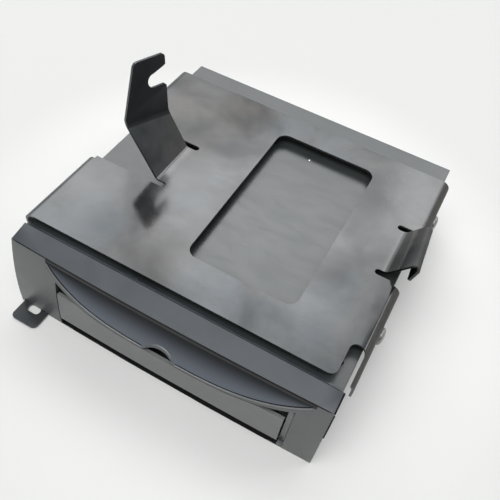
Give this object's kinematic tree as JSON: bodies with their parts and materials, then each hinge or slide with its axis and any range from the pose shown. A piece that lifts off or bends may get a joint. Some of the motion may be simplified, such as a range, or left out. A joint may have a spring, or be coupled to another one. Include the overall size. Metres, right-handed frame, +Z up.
{
  "type": "car disc player",
  "caption": "Slot-loading car disc player: steel chassis, moulded front with a drop-down flap under a finger scoop, and a raised mounting plate with bent ears.",
  "frame": {"origin": "centre of the chassis pan's underside", "axes": "+Z up, +Y towards the rear socket, +X to the right seen from the front, which faces -Y"},
  "size_m": [0.1926, 0.1998, 0.1151],
  "materials": {
    "moulding": "fine satin texture",
    "dark_plastic": "satin",
    "black_steel": "satin black coat",
    "zinc": "zinc plated",
    "steel": "ground",
    "rubber": "matt",
    "felt": "felt",
    "gear_plastic": "natural acetal",
    "board_green": "coated board",
    "lens_glass": "clear"
  },
  "bodies": {
    "chassis": {"base_pan": "black_steel", "bracket_plate": "black_steel", "bracket_screw_back_left": "zinc", "bracket_screw_back_right": "zinc", "bracket_screw_front_left": "zinc", "bracket_screw_front_right": "zinc", "bracket_spacer_back_left": "rubber", "bracket_spacer_back_right": "rubber", "bracket_spacer_front_left": "rubber", "bracket_spacer_front_right": "rubber", "button_board": "board_green", "clamp_bracket": "zinc", "clamp_pin": "steel", "damper_back_left": "rubber", "damper_back_right": "rubber", "damper_front_left": "rubber", "damper_front_right": "rubber", "deck_plate": "zinc", "disc_guide": "dark_plastic", "driver_chip": "dark_plastic", "fascia": "moulding", "flap_spring": "steel", "guide_rod_left": "steel", "guide_rod_right": "steel", "hinge_pin_left": "steel", "hinge_pin_right": "steel", "idler_pin": "steel", "inner_front": "moulding", "loading_motor": "zinc", "lower_dust_lip": "felt", "main_board": "board_green", "power_capacitor": "zinc", "rear_connector": "dark_plastic", "roller_bracket_left": "steel", "roller_bracket_right": "steel", "sled_motor": "zinc", "spindle_motor": "zinc", "top_cover": "black_steel", "upper_dust_lip": "felt"},
    "flap": {"flap_door": "moulding"},
    "eject": {"eject_button": "dark_plastic"},
    "load": {"load_button": "dark_plastic"},
    "spindle": {"turntable": "dark_plastic"},
    "clamp": {"clamp_arm": "zinc"},
    "puck": {"clamp_puck": "dark_plastic"},
    "sled": {"pickup_sled": "dark_plastic", "pickup_lens": "lens_glass"},
    "feed_screw": {"lead_screw": "steel"},
    "roller": {"roller_shaft": "steel", "loading_roller": "rubber", "roller_gear": "gear_plastic"},
    "idler": {"idler_gear": "gear_plastic"},
    "pinion": {"motor_pinion": "gear_plastic"}
  },
  "joints": [
    {"name": "flap_hinge", "type": "hinge", "parent": "chassis", "child": "flap", "pos_m": [0.0046, -0.0996, 0.005], "axis": [1, 0, 0], "range_deg": [0, 88], "stiffness_Nm_per_rad": 0.0008, "springref_deg": -28.65},
    {"name": "eject_press", "type": "slide", "parent": "chassis", "child": "eject", "axis": [0, 1, 0], "range_m": [0, 0.0012], "stiffness_N_per_m": 400},
    {"name": "load_press", "type": "slide", "parent": "chassis", "child": "load", "axis": [0, 1, 0], "range_m": [0, 0.0012], "stiffness_N_per_m": 400},
    {"name": "turntable_spin", "type": "hinge", "parent": "chassis", "child": "spindle", "pos_m": [0.00615, -0.015, 0.0124], "axis": [0, 0, 1], "continuous": true},
    {"name": "clamp_lift", "type": "hinge", "parent": "chassis", "child": "clamp", "pos_m": [0.00615, 0.056, 0.0176], "axis": [-1, 0, 0], "range_deg": [0, 5]},
    {"name": "puck_spin", "type": "hinge", "parent": "clamp", "child": "puck", "pos_m": [0.00615, -0.015, 0.015], "axis": [0, 0, 1], "continuous": true},
    {"name": "sled_slide", "type": "slide", "parent": "chassis", "child": "sled", "axis": [0, 1, 0], "range_m": [-0.008, 0.028]},
    {"name": "feed_screw_spin", "type": "hinge", "parent": "chassis", "child": "feed_screw", "pos_m": [0.02565, 0.02, 0.0055], "axis": [0, 1, 0], "range_deg": [-970, 3370]},
    {"name": "roller_spin", "type": "hinge", "parent": "chassis", "child": "roller", "pos_m": [0.00615, -0.074, 0.0089], "axis": [1, 0, 0], "continuous": true},
    {"name": "idler_spin", "type": "hinge", "parent": "chassis", "child": "idler", "pos_m": [0.07165, -0.0613, 0.0159], "axis": [1, 0, 0], "continuous": true},
    {"name": "pinion_spin", "type": "hinge", "parent": "chassis", "child": "pinion", "pos_m": [0.07165, -0.05333, 0.0068], "axis": [1, 0, 0], "continuous": true}
  ],
  "couplings": [
    {"joint": "puck_spin", "follows": "turntable_spin", "ratio": 1},
    {"joint": "feed_screw_spin", "follows": "sled_slide", "rad_per_m": 2094.4},
    {"joint": "idler_spin", "follows": "roller_spin", "ratio": -0.8},
    {"joint": "pinion_spin", "follows": "roller_spin", "ratio": 1.6}
  ]
}
